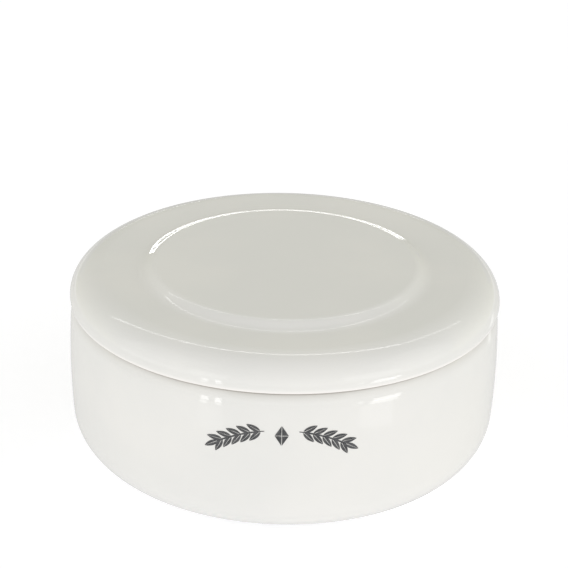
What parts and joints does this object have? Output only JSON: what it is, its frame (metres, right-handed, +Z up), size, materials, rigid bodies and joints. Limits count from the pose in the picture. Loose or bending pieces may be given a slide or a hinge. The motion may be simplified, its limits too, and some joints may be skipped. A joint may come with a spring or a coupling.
{
  "type": "shaving bowl",
  "caption": "Round lidded shaving bowl in white glazed porcelain, with a flat lift-off lid, a soap cake inside and a small leaf mark on its front.",
  "frame": {"origin": "centre of the foot ring, on the surface that the bowl stands on", "axes": "+Z up along the bowl's axis; the marked front faces -Y; +X is to the right seen from the front"},
  "size_m": [0.1102, 0.1103, 0.0512],
  "materials": {
    "white_glaze": "gloss",
    "soap": "satin",
    "dark_transfer": "gloss"
  },
  "bodies": {
    "bowl": {"bowl": "white_glaze", "soap_cake": "soap", "front_mark": "dark_transfer"},
    "lid": {"lid": "white_glaze"}
  },
  "joints": [
    {"name": "lid_lift", "type": "slide", "parent": "bowl", "child": "lid", "axis": [0, 0, 1], "range_m": [0, 0.07]}
  ]
}
